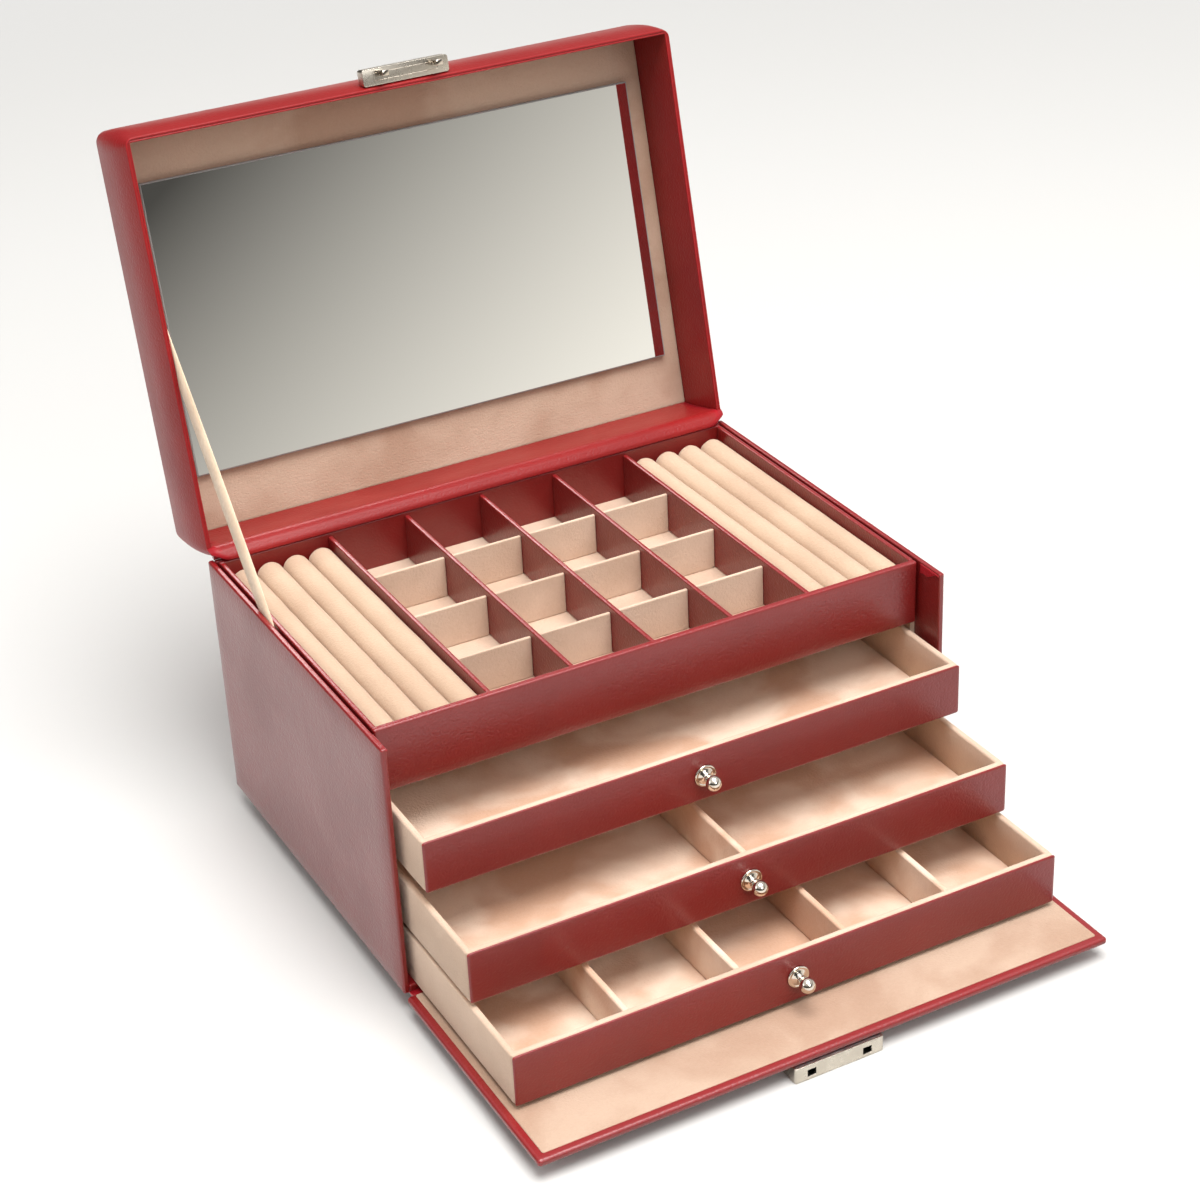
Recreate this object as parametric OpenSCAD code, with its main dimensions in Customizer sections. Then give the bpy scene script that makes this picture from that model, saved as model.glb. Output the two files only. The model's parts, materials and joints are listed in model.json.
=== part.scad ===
// Leather-covered jewellery case: a fixed top tray, three drawers, a padded lid with a mirror
// and a front flap that folds down on a leather hinge and carries the lock.
// Millimetres, +Z up, the front faces -Y. The lid stands open, the flap lies down on its lock
// and the drawers are pulled out in steps. The origin is on the floor, under the middle of
// the opened case.

/* [Case] */
// Width over the side walls
case_w = 266; // [220:1:320]
// Depth from the front edges of the side walls to the back
case_d = 186; // [155:1:225]
// Height of the side walls
wall_h = 118; // [98:1:142]
// Thickness of the leather-covered walls
wall_t = 3; // [2.4:0.1:3.6]
// Thickness of the base board
base_t = 3.2; // [2.4:0.1:4]
// Distance that the tray and the closed drawers are set back behind the side walls' edges
recess = 15; // [14:0.5:18]
// Radius of the rounded leather edges of the walls
edge_r = 1.2; // [0.6:0.1:1.2]
// Distance from the case's outer faces to the middle of a foot
foot_in = 24; // [16:1:32]
// Radius of a foot at the floor
foot_r = 5; // [4:0.5:7]

/* [Tray] */
// Height of the tray's front panel
tray_h = 30; // [26:0.5:36]
// Thickness of the tray's floor board
tray_floor_t = 3; // [2:0.1:3.6]
// Thickness of the velour lining on the tray's floor
tray_lining_t = 3.3; // [1:0.1:4]
// Thickness of the tray's front panel
panel_t = 3.2; // [2.4:0.1:4]
// Thickness of the tray's side and back rails
rail_t = 2.2; // [1.6:0.1:3]
// Gap between the tray and each side wall
tray_gap = 1.2; // [0.8:0.1:1.6]
// Thickness of a column divider
column_t = 2.2; // [1.6:0.1:3]
// Distance from the rim down to the column dividers' tops
column_down = 1.5; // [0.5:0.1:3]
// Thickness of a cross divider
cross_t = 1.6; // [1.2:0.1:2.4]
// Distance from the rim down to the cross dividers' tops
cross_down = 4.2; // [2:0.1:8]
// Amount by which each front compartment is shorter than the ones behind it
front_less = 5; // [0:0.5:8]

/* [Ring rolls] */
// Number of ring rolls at each side
roll_n = 4; // [2:1:5]
// Width of one ring roll
roll_w = 12.2; // [10:0.1:14]
// Distance from the rim down to the rolls' tops
roll_down = 3; // [2:0.1:6]
// Gap beside and behind a ring roll
roll_gap = 0.15; // [0.1:0.05:0.3]

/* [Drawers] */
// Thickness of a drawer's velour-covered walls
drawer_t = 3; // [2.2:0.1:3.6]
// Thickness of a drawer's floor
drawer_floor_t = 2.4; // [1.6:0.1:3]
// Thickness of the leather facing on a drawer's front
facing_t = 1.2; // [0.8:0.1:2]
// Thickness of the shelf between the tray and the top drawer
top_shelf_t = 3; // [1:0.1:4]
// Thickness of the shelf over the middle drawer
middle_shelf_t = 6.1; // [1:0.1:8]
// Thickness of the shelf over the bottom drawer
bottom_shelf_t = 1; // [0.8:0.1:4]
// Thickness of the liners beside the drawers
liner_t = 2.2; // [1.6:0.1:2.6]
// Gap beside a drawer
drawer_side_gap = 0.7; // [0.4:0.1:1]
// Gap under a drawer
drawer_under_gap = 0.4; // [0.3:0.1:0.6]
// Gap over a drawer
drawer_over_gap = 0.9; // [0.6:0.1:2]
// Gap behind a closed drawer
drawer_back_gap = 3; // [1:0.5:6]
// Further that each drawer is pulled out than the one above it
pull_step = 35.3; // [10:0.1:36]
// Distance from a drawer's top edge down to the tops of its dividers
drawer_divider_down = 1; // [0:0.5:8]
// Number of dividers in the bottom drawer
bottom_divider_n = 4; // [1:1:6]

/* [Knobs] */
// Radius of the rosette
rosette_r = 5; // [4:0.5:6]
// Thickness of the rosette
rosette_t = 1.4; // [1:0.1:2]
// Radius of the stem
stem_r = 1.8; // [1.5:0.1:2.2]
// Radius of the ball
ball_r = 3.4; // [2.8:0.1:4]
// Distance from the drawer's front to the ball's middle
ball_out = 7.3; // [6:0.1:8]
// Radius of the knob screw's shank
screw_r = 1; // [0.8:0.1:1.1]
// Radius of the screw's head
screw_head_r = 2.4; // [1.6:0.1:3]
// Thickness of the screw's head
screw_head_t = 0.9; // [0.6:0.1:1.2]
// Radial clearance round the screw
screw_fit = 0.05; // [0.02:0.01:0.1]

/* [Lid] */
// Outside height of the lid
lid_h = 45; // [40:1:54]
// Angle of the open lid from its closed place
open_angle = 102.8; // [92:0.1:110]
// Thickness of the lid's walls
lid_wall_t = 3; // [2.4:0.1:3.6]
// Thickness of the lid's padded top
lid_top_t = 12; // [8:0.5:14]
// Radius of the lid's rounded outer edges
lid_edge_r = 5; // [3:0.5:6]
// Thickness of the lid's lining board
lid_lining_t = 1.3; // [0.8:0.1:2]
// Gap between the closed lid and the rim
lid_gap = 0.3; // [0.2:0.1:0.5]
// Distance that the closed lid reaches in front of the side walls' edges
lid_front = 2.2; // [1:0.1:3]
// Radius of the leather hinge bead
bead_r = 1; // [0.8:0.1:1.2]
// Gap round the hinge beads
bead_gap = 0.3; // [0.3:0.05:0.4]
// Thickness of the leather hinge band inside the lid
band_t = 1; // [0.8:0.1:1.5]

/* [Mirror] */
// Width of the lining beside the mirror
mirror_side = 8.7; // [2:0.1:20]
// Height of the lining over the mirror
mirror_over = 21.2; // [2:0.1:30]
// Height of the lining under the mirror
mirror_under = 27.3; // [6:0.1:32]
// Thickness of the mirror
mirror_t = 3; // [2:0.1:4]

/* [Stay ribbon] */
// Width of the ribbon
ribbon_w = 9.5; // [6:0.5:12]
// Thickness of the ribbon
ribbon_t = 0.5; // [0.3:0.1:0.6]
// Distance along the lid from its hinge to the ribbon's upper end
ribbon_lid_at = 111.9; // [90:0.1:130]
// Distance from the lid's rim to the ribbon's upper end
ribbon_lid_deep = 12.4; // [8:0.1:16]
// Distance in front of the hinge where the ribbon's lower end is fixed
ribbon_case_at = 66.2; // [50:0.1:80]
// Distance below the rim where the ribbon's lower end is fixed
ribbon_case_deep = 6; // [4:0.1:10]

/* [Flap] */
// Thickness of the flap's leather-covered board
flap_t = 3.4; // [2.8:0.1:4]
// Thickness of the flap's lining
flap_lining_t = 0.5; // [0.3:0.1:0.8]
// Border of leather round the flap's lining
flap_border = 3.6; // [3:0.1:6]
// Gap between the closed flap and the case
flap_gap = 0.3; // [0.2:0.1:0.5]

/* [Lock] */
// Width of the lock
lock_w = 41.6; // [36:0.1:48]
// Length of the lock along the flap
lock_l = 30; // [26:1:40]
// Thickness of the lock, which is also the flap's height over the floor
lock_t = 7; // [6.6:0.1:8]
// Thickness of the lock's metal
lock_wall_t = 1; // [0.8:0.1:1.2]
// Thickness of the lock's back plate
lock_back_t = 0.8; // [0.6:0.1:1]
// Distance that the lock reaches past the flap's edge
lock_over = 1.5; // [1:0.1:2.5]
// Half the distance between the two slots
slot_x = 13; // [10:0.1:15]
// Width of a slot
slot_w = 4; // [3.6:0.1:4.6]
// Height of a slot
slot_h = 3.2; // [3:0.1:3.6]
// Distance from the flap's face to the middle of a slot
slot_down = 3.9; // [3.7:0.1:4.1]
// Gap between a prong and its slot on each side
prong_gap = 0.4; // [0.3:0.05:0.5]
// Length of a prong
prong_l = 8.5; // [7:0.1:10]
// Sideways travel of the latch slider
slider_travel = 3; // [2:0.1:3.2]

/* [Lid plate] */
// Distance that the lid plate stands out from the lid's front
plate_out = 7.5; // [7:0.1:9]
// Height of the lid plate
plate_h = 5.7; // [4:0.1:8]
// Gap between the lid plate and the closed lock
plate_gap = 0.3; // [0.2:0.1:0.6]

/* [Hidden] */

leather = [0.56, 0.10, 0.12];
velour = [0.87, 0.70, 0.55];
nickel = [0.80, 0.78, 0.74];
silvered = [0.75, 0.80, 0.82];

// Flap hinge: the lock sets the flap's height, and the hinge sets the height of the feet.
bead_strip_t = 0.7;
flap_axis_z = lock_t + flap_t / 2;
foot_h = flap_axis_z + bead_strip_t;
rim_z = foot_h + wall_h;
flap_reach = rim_z - flap_gap - flap_axis_z;
flap_axis_in = flap_t / 2 + flap_gap;
lock_reach = flap_axis_in + flap_reach + lock_over;

// Lid: its parts are drawn closed, about the hinge, with their fronts at -lid_d.
hinge_in = 0.5;
hinge_up = 1;
lid_d = case_d - hinge_in + lid_front;
lid_low = lid_gap - hinge_up;
lid_high = lid_low + lid_h;
lid_lining_low = lid_high - lid_top_t - lid_lining_t;
lid_lean = open_angle - 90;
lid_reach = case_d - hinge_in + (lid_d - lid_edge_r) * sin(lid_lean)
    + (lid_high - lid_edge_r) * cos(lid_lean) + lid_edge_r;

// Case: the opened case is centred on the origin from front to back.
half_w = case_w / 2;
inner_x = half_w - wall_t;
front_y = (lock_reach - lid_reach) / 2;
back_y = front_y + case_d;
bay_back_y = back_y - wall_t;
flap_axis_y = front_y - flap_axis_in;
flap_edge_y = flap_axis_y - flap_reach;
hinge_y = back_y - hinge_in;
hinge_z = rim_z + hinge_up;
base_top = foot_h + base_t;

// Tray
tray_x = inner_x - tray_gap;
tray_z = rim_z - tray_h;
tray_front_y = front_y + recess;
tray_in_front = tray_front_y + panel_t;
tray_in_back = bay_back_y - rail_t;
tray_in_x = tray_x - rail_t;
lining_z = tray_z + tray_floor_t + tray_lining_t;
roll_field = roll_n * roll_w + (roll_n + 1) * roll_gap;
column_n = 4;
column_pitch = (2 * (tray_in_x - roll_field) - column_t) / column_n;
cross_n = 3;
cross_pitch = (tray_in_back - tray_in_front + front_less) / (cross_n + 1);

// Drawers, from the top (1) to the bottom (3)
drawer_n = 3;
shelf_t = [top_shelf_t, middle_shelf_t, bottom_shelf_t];
drawer_h = (tray_z - base_top - top_shelf_t - middle_shelf_t - bottom_shelf_t) / drawer_n
    - drawer_under_gap - drawer_over_gap;
drawer_x = inner_x - liner_t - drawer_side_gap;
drawer_len = bay_back_y - drawer_back_gap - tray_front_y;
drawer_in_x = drawer_x - drawer_t;
function drawer_y(k) = tray_front_y - k * pull_step;
function bay_z(k) = k == drawer_n ? base_top : bay_top(k + 1) + shelf_t[k];
function bay_top(k) = bay_z(k) + drawer_under_gap + drawer_h + drawer_over_gap;
function drawer_z(k) = bay_z(k) + drawer_under_gap;

// Lock
slot_z = lock_t - slot_down;
lock_y = flap_edge_y - lock_over;
lock_back_y = lock_y + lock_l;
cavity_x = lock_w / 2 - lock_wall_t;
cavity_top = lock_t - lock_back_t;
prong_w = slot_w - 2 * prong_gap;
prong_t = slot_h - 2 * prong_gap;
prong_far = lid_d + plate_out;
plate_low = rim_z + lock_over + plate_gap - flap_gap - hinge_z;
prong_y = hinge_y - flap_axis_y + flap_axis_z - slot_z;
window_l = 2.8;
window_t = 1.2;
window_up = 3;
window_low = plate_low - prong_l + window_up - window_l / 2;
slider_gap = 0.3;
slider_plate_t = 1.2;
thumb = [9, 5];
thumb_in = 20;
thumb_y = lock_y + thumb_in;

module slab(low, high) {
    translate(low) cube(high - low);
}

// A rectangle with round corners, from the origin to size
module rounded_rect(size, r) {
    translate([r, 0]) square([size.x - 2 * r, size.y]);
    translate([0, r]) square([size.x, size.y - 2 * r]);
    for (x = [r, size.x - r], y = [r, size.y - r]) translate([x, y]) circle(r, $fn = 32);
}

// A slab whose four long edges, along Y, are round
module slab_round_y(low, high, r) {
    size = high - low;
    translate([low.x, high.y, low.z]) rotate([90, 0, 0])
        linear_extrude(size.y) rounded_rect([size.x, size.z], r);
}

// A slab whose four edges along Z are round
module slab_round_z(low, high, r) {
    size = high - low;
    translate(low) linear_extrude(size.z) rounded_rect([size.x, size.y], r);
}

// A slab whose four edges along X are round
module slab_round_x(low, high, r) {
    size = high - low;
    translate(low) rotate([90, 0, 90]) linear_extrude(size.x) rounded_rect([size.y, size.z], r);
}

module along_x(centre, r, length) {
    translate([-length / 2, centre.x, centre.y]) rotate([0, 90, 0]) cylinder(length, r, r, $fn = 48);
}

// Case ------------------------------------------------------------------------

module base_board() {
    color(leather) slab([-inner_x, front_y + flap_lining_t, foot_h], [inner_x, bay_back_y, base_top]);
}

module side_wall(side) {
    color(leather) mirror([side < 0 ? 1 : 0, 0, 0])
        slab_round_y([inner_x, front_y, foot_h], [half_w, back_y, rim_z], edge_r);
}

module back_wall() {
    color(leather) slab([-inner_x, bay_back_y, foot_h], [inner_x, back_y, rim_z]);
}

module bay_liners() {
    color(velour) for (side = [0, 1]) mirror([side, 0, 0])
        slab([inner_x - liner_t, tray_in_front, base_top], [inner_x, bay_back_y, tray_z]);
}

module drawer_shelves() {
    color(velour) for (k = [1 : drawer_n])
        slab([-inner_x + liner_t, tray_in_front, bay_top(k)],
            [inner_x - liner_t, bay_back_y, bay_top(k) + shelf_t[k - 1]]);
}

module feet() {
    flare = 1.5;
    dome = 1.2;
    color(nickel) for (x = [-1, 1], y = [front_y + foot_in, back_y - foot_in])
        translate([x * (half_w - foot_in), y, 0]) rotate_extrude($fn = 48)
            polygon([[0, 0], [foot_r - dome, 0], [foot_r, dome], [foot_r, foot_h - flare],
                [foot_r + flare, foot_h - flare / 2], [foot_r + flare, foot_h], [0, foot_h]]);
}

module lid_hinge_bead() {
    color(leather) {
        along_x([hinge_y, hinge_z], bead_r, 2 * inner_x);
        slab([-inner_x, hinge_y - hinge_in, rim_z], [inner_x, back_y, hinge_z]);
    }
}

module flap_hinge_bead() {
    strip_in = 12;
    color(leather) {
        along_x([flap_axis_y, flap_axis_z], bead_r, 2 * inner_x);
        slab([-inner_x, flap_axis_y, flap_axis_z], [inner_x, front_y + strip_in, foot_h]);
    }
}

// Tray ------------------------------------------------------------------------

module tray_floor() {
    color(velour) slab([-tray_in_x, tray_in_front, tray_z],
        [tray_in_x, tray_in_back, tray_z + tray_floor_t]);
}

module tray_front_panel() {
    color(leather) slab([-tray_x, tray_front_y, tray_z], [tray_x, tray_in_front, rim_z]);
}

module tray_back_rail() {
    color(leather) slab([-tray_x, tray_in_back, tray_z], [tray_x, bay_back_y, rim_z]);
}

module tray_side_rail(side) {
    color(leather) mirror([side < 0 ? 1 : 0, 0, 0])
        slab([tray_in_x, tray_in_front, tray_z], [tray_x, tray_in_back, rim_z]);
}

module tray_lining() {
    color(velour) slab([-tray_in_x, tray_in_front, tray_z + tray_floor_t],
        [tray_in_x, tray_in_back, lining_z]);
}

function column_x(k) = (k - 1 - column_n / 2) * column_pitch;

module column_divider(k) {
    x = column_x(k);
    color(leather) slab([x - column_t / 2, tray_in_front, lining_z],
        [x + column_t / 2, tray_in_back, rim_z - column_down]);
}

module cross_dividers(k) {
    color(velour) for (row = [1 : cross_n]) {
        y = tray_in_back - row * cross_pitch;
        slab([column_x(k) + column_t / 2, y - cross_t / 2, lining_z],
            [column_x(k + 1) - column_t / 2, y + cross_t / 2, rim_z - cross_down]);
    }
}

module ring_rolls(side) {
    r = roll_w / 2;
    waist = 0.6;
    top = rim_z - roll_down;
    from_y = tray_in_front + roll_gap;
    to_y = tray_in_back - roll_gap;
    color(velour) for (i = [0 : roll_n - 1]) {
        x = side * (tray_in_x - roll_gap - r - i * (roll_w + roll_gap));
        slab([x - r + waist, from_y, lining_z], [x + r - waist, to_y, top - r]);
        translate([x, to_y, top - r]) rotate([90, 0, 0]) cylinder(to_y - from_y, r, r, $fn = 48);
    }
}

// Drawers ---------------------------------------------------------------------

module drawer_floor(k) {
    y = drawer_y(k);
    z = drawer_z(k);
    color(velour) slab([-drawer_in_x, y + facing_t + drawer_t, z],
        [drawer_in_x, y + drawer_len - drawer_t, z + drawer_floor_t]);
}

module drawer_walls(k) {
    y = drawer_y(k);
    z = drawer_z(k);
    wall_front = y + facing_t;
    back = y + drawer_len;
    color(velour) {
        for (side = [0, 1]) mirror([side, 0, 0])
            slab([drawer_in_x, wall_front, z], [drawer_x, back, z + drawer_h]);
        slab([-drawer_in_x, back - drawer_t, z], [drawer_in_x, back, z + drawer_h]);
        difference() {
            slab([-drawer_in_x, wall_front, z], [drawer_in_x, wall_front + drawer_t, z + drawer_h]);
            screw_hole(k);
        }
    }
}

module drawer_facing(k) {
    y = drawer_y(k);
    z = drawer_z(k);
    color(leather) difference() {
        slab([-drawer_x, y, z], [drawer_x, y + facing_t, z + drawer_h]);
        screw_hole(k);
    }
}

module screw_hole(k) {
    through = 1;
    inside = drawer_t + facing_t;
    knob_place(k) translate([0, 0, -inside]) {
        cylinder(inside + through, screw_r + screw_fit, screw_r + screw_fit, $fn = 32);
        translate([0, 0, -through])
            cylinder(screw_head_t + through, screw_head_r + screw_fit, screw_head_r + screw_fit, $fn = 32);
    }
}

// The middle of a drawer's front, with +Z pointing out of it
module knob_place(k) {
    translate([0, drawer_y(k), drawer_z(k) + drawer_h / 2]) rotate([90, 0, 0]) children();
}

module knob(k) {
    step = 0.5;
    bore = ball_out - ball_r / 2;
    color(nickel) knob_place(k) difference() {
        union() {
            cylinder(rosette_t - step, rosette_r, rosette_r, $fn = 64);
            cylinder(rosette_t, rosette_r - 1, rosette_r - 1, $fn = 64);
            cylinder(ball_out, stem_r, stem_r, $fn = 48);
            translate([0, 0, ball_out]) sphere(ball_r, $fn = 48);
        }
        cylinder(bore, screw_r + screw_fit, screw_r + screw_fit, $fn = 32);
    }
}

// The screw's head is sunk in the inner face of the drawer's front
module knob_screw(k) {
    shank = 4;
    inside = facing_t + drawer_t;
    color(nickel) knob_place(k) translate([0, 0, -inside]) {
        cylinder(screw_head_t, screw_head_r, screw_head_r, $fn = 32);
        cylinder(inside + shank, screw_r, screw_r, $fn = 32);
    }
}

module drawer_dividers(k, n) {
    y = drawer_y(k);
    z = drawer_z(k);
    pitch = (2 * drawer_in_x + drawer_t) / (n + 1);
    color(velour) for (i = [1 : n]) {
        x = -drawer_in_x - drawer_t + i * pitch;
        slab([x, y + facing_t + drawer_t, z + drawer_floor_t],
            [x + drawer_t, y + drawer_len - drawer_t, z + drawer_h - drawer_divider_down]);
    }
}

// Lid -------------------------------------------------------------------------

module lid_place() {
    translate([0, hinge_y, hinge_z]) rotate([-open_angle, 0, 0]) children();
}

lid_in_x = half_w - lid_wall_t;
lid_panel_low = lid_high - lid_top_t;

// The closed lid's outline between two heights, with round corners
module lid_outline(low, high) {
    slab_round_z([-half_w, -lid_d, low], [half_w, 0, high], lid_wall_t);
}

module lid_top_panel() {
    below = lid_panel_low - 2 * lid_edge_r;
    color(leather) lid_place() intersection() {
        slab_round_x([-half_w, -lid_d, below], [half_w, 0, lid_high], lid_edge_r);
        slab_round_y([-half_w, -lid_d, below], [half_w, 0, lid_high], lid_edge_r);
        lid_outline(lid_panel_low, lid_high);
    }
}

module lid_side_wall(side) {
    color(leather) lid_place() mirror([side < 0 ? 1 : 0, 0, 0])
        slab([lid_in_x, -lid_d + lid_wall_t, lid_low], [half_w, -lid_wall_t, lid_panel_low]);
}

module lid_front_wall() {
    color(leather) lid_place() intersection() {
        lid_outline(lid_low, lid_panel_low);
        slab([-half_w, -lid_d, lid_low], [half_w, -lid_d + lid_wall_t, lid_panel_low]);
    }
}

module lid_back_wall() {
    color(leather) lid_place() difference() {
        intersection() {
            lid_outline(lid_low, lid_panel_low);
            slab([-half_w, -lid_wall_t, lid_low], [half_w, 0, lid_panel_low]);
        }
        along_x([0, 0], bead_r + bead_gap, case_w + 2);
    }
}

module lid_lining() {
    color(velour) lid_place() slab([-lid_in_x, -lid_d + lid_wall_t, lid_lining_low],
        [lid_in_x, -lid_wall_t, lid_panel_low]);
}

module mirror_glass() {
    x = lid_in_x - mirror_side;
    color(silvered) lid_place()
        slab([-x, -lid_d + lid_wall_t + mirror_over, lid_lining_low - mirror_t],
            [x, -lid_wall_t - mirror_under, lid_lining_low]);
}

module lid_hinge_band() {
    above_rim = 2;
    color(leather) lid_place() slab([-lid_in_x, -lid_wall_t - band_t, lid_low + above_rim],
        [lid_in_x, -lid_wall_t, lid_lining_low]);
}

module lid_plate() {
    color(nickel) lid_place()
        slab_round_z([-lock_w / 2, -prong_far, plate_low],
            [lock_w / 2, -lid_d, plate_low + plate_h], edge_r);
}

module lid_prongs() {
    reach = 1;
    color(nickel) lid_place() for (x = [-slot_x, slot_x]) difference() {
        slab([x - prong_w / 2, -prong_y - prong_t / 2, plate_low - prong_l],
            [x + prong_w / 2, -prong_y + prong_t / 2, plate_low]);
        slab([x - prong_w / 2 - reach, -prong_y - window_t / 2, window_low],
            [x + prong_w / 2 + reach, -prong_y + window_t / 2, window_low + window_l]);
    }
}

// The ribbon's ends in the plane of the side wall, as [y, z]
ribbon_foot = [hinge_y - ribbon_case_at, rim_z - ribbon_case_deep];
ribbon_head = [hinge_y + ribbon_lid_at * sin(lid_lean) + ribbon_lid_deep * cos(lid_lean),
    hinge_z + ribbon_lid_at * cos(lid_lean) - ribbon_lid_deep * sin(lid_lean)];
ribbon_run = ribbon_head - ribbon_foot;

module stay_ribbon() {
    off_wall = 0.2;
    color(velour) translate([-inner_x + off_wall, ribbon_foot.x, ribbon_foot.y])
        rotate([atan2(ribbon_run.y, ribbon_run.x), 0, 0]) translate([0, 0, -ribbon_w / 2])
            cube([ribbon_t, norm(ribbon_run), ribbon_w]);
}

// Flap and lock ---------------------------------------------------------------

module flap_board() {
    color(leather) difference() {
        slab_round_z([-half_w, flap_edge_y, lock_t],
            [half_w, flap_axis_y - bead_strip_t, lock_t + flap_t], edge_r);
        along_x([flap_axis_y, flap_axis_z], bead_r + bead_gap, case_w + 2);
    }
}

module flap_lining() {
    low_y = flap_edge_y + flap_border;
    high_y = flap_axis_y - bead_strip_t - bead_r - bead_gap;
    color(velour) slab([-half_w + flap_border, low_y, lock_t + flap_t],
        [half_w - flap_border, high_y, lock_t + flap_t + flap_lining_t]);
}

module lock_housing() {
    rear = lock_back_y - lock_wall_t;
    color(nickel) difference() {
        slab_round_z([-lock_w / 2, lock_y, 0], [lock_w / 2, lock_back_y, lock_t], edge_r);
        slab([-cavity_x, lock_y + lock_wall_t, lock_wall_t], [cavity_x, rear, lock_t + 1]);
        for (x = [-slot_x, slot_x])
            slab([x - slot_w / 2, lock_y - 1, slot_z - slot_h / 2],
                [x + slot_w / 2, lock_y + lock_wall_t + 1, slot_z + slot_h / 2]);
        slab([-thumb.x / 2 - slider_travel - slider_gap, thumb_y - thumb.y / 2 - slider_gap, -1],
            [thumb.x / 2 + slider_gap, thumb_y + thumb.y / 2 + slider_gap, lock_wall_t + 1]);
    }
}

module lock_back_plate() {
    edge = 0.05;
    color(nickel) slab([-cavity_x + edge, lock_y + lock_wall_t + edge, cavity_top],
        [cavity_x - edge, lock_back_y - lock_wall_t - edge, lock_t]);
}

// Latch slider: a plate with a thumb piece in the lock's face, and two arms whose fingers pass
// through the windows of the prongs. It slides towards -X to let the prongs go.
module lock_slider() {
    arm_w = 1.4;
    bite = 2.4;
    finger_l = 2;
    finger_t = 0.8;
    plate_y = lock_y + lock_wall_t + prong_l;
    plate_back = thumb_y + thumb.y / 2;
    window_y = flap_axis_y - (hinge_z + window_low + window_l / 2 - flap_axis_z);
    low = lock_wall_t + slider_gap;
    high = cavity_top - slider_gap;
    color(nickel) {
        slab([-slot_x - prong_w / 2 - prong_gap - arm_w, plate_y, low],
            [slot_x - prong_w / 2 - prong_gap, plate_back, low + slider_plate_t]);
        slab([-thumb.x / 2, thumb_y - thumb.y / 2, slider_gap], [thumb.x / 2, plate_back, low]);
        for (x = [-slot_x, slot_x]) {
            arm = x - prong_w / 2 - prong_gap - arm_w;
            slab([arm, window_y - finger_l / 2, low], [arm + arm_w, plate_y + 2, high]);
            slab([arm, window_y - finger_l / 2, slot_z - finger_t / 2],
                [arm + arm_w + prong_gap + bite, window_y + finger_l / 2, slot_z + finger_t / 2]);
        }
    }
}

// Friction spring: a bowed strip under the back plate, whose middle faces the slider
module friction_spring() {
    strip_t = 0.3;
    strip_w = 4;
    half_chord = 7;
    plate_top = lock_wall_t + 2 * slider_gap + slider_plate_t;
    sag = cavity_top - plate_top;
    r = (pow(half_chord, 2) + pow(sag, 2)) / (2 * sag);
    color(nickel) intersection() {
        translate([0, thumb_y - strip_w / 2, plate_top + r]) rotate([-90, 0, 0]) difference() {
            cylinder(strip_w, r, r, $fn = 128);
            translate([0, 0, -1]) cylinder(strip_w + 2, r - strip_t, r - strip_t, $fn = 128);
        }
        slab([-half_chord, lock_y, lock_wall_t], [half_chord, lock_back_y, cavity_top]);
    }
}

base_board();
side_wall(-1);  // left_side_wall
side_wall(1);  // right_side_wall
back_wall();
bay_liners();
drawer_shelves();
feet();
lid_hinge_bead();
flap_hinge_bead();
tray_floor();
tray_front_panel();
tray_back_rail();
tray_side_rail(-1);  // tray_left_rail
tray_side_rail(1);  // tray_right_rail
tray_lining();
column_divider(1);  // column_divider_1
column_divider(2);  // column_divider_2
column_divider(3);  // column_divider_3
column_divider(4);  // column_divider_4
column_divider(5);  // column_divider_5
cross_dividers(1);  // cross_dividers_1
cross_dividers(2);  // cross_dividers_2
cross_dividers(3);  // cross_dividers_3
cross_dividers(4);  // cross_dividers_4
ring_rolls(-1);  // ring_rolls_left
ring_rolls(1);  // ring_rolls_right
lid_top_panel();
lid_front_wall();
lid_back_wall();
lid_side_wall(-1);  // lid_left_wall
lid_side_wall(1);  // lid_right_wall
lid_lining();
mirror_glass();  // mirror
lid_plate();
lid_prongs();
lid_hinge_band();
stay_ribbon();
flap_board();
flap_lining();
lock_housing();
lock_back_plate();
lock_slider();
friction_spring();
drawer_floor(1);  // top_drawer_floor
drawer_walls(1);  // top_drawer_walls
drawer_facing(1);  // top_drawer_facing
knob(1);  // top_drawer_knob
knob_screw(1);  // top_drawer_screw
drawer_floor(2);  // middle_drawer_floor
drawer_walls(2);  // middle_drawer_walls
drawer_facing(2);  // middle_drawer_facing
knob(2);  // middle_drawer_knob
knob_screw(2);  // middle_drawer_screw
drawer_dividers(2, 1);  // middle_drawer_divider
drawer_floor(3);  // bottom_drawer_floor
drawer_walls(3);  // bottom_drawer_walls
drawer_facing(3);  // bottom_drawer_facing
knob(3);  // bottom_drawer_knob
knob_screw(3);  // bottom_drawer_screw
drawer_dividers(3, bottom_divider_n);  // bottom_drawer_dividers
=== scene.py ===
import json
import math
import bmesh
import bpy
from mathutils import Matrix, Vector, noise


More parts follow.
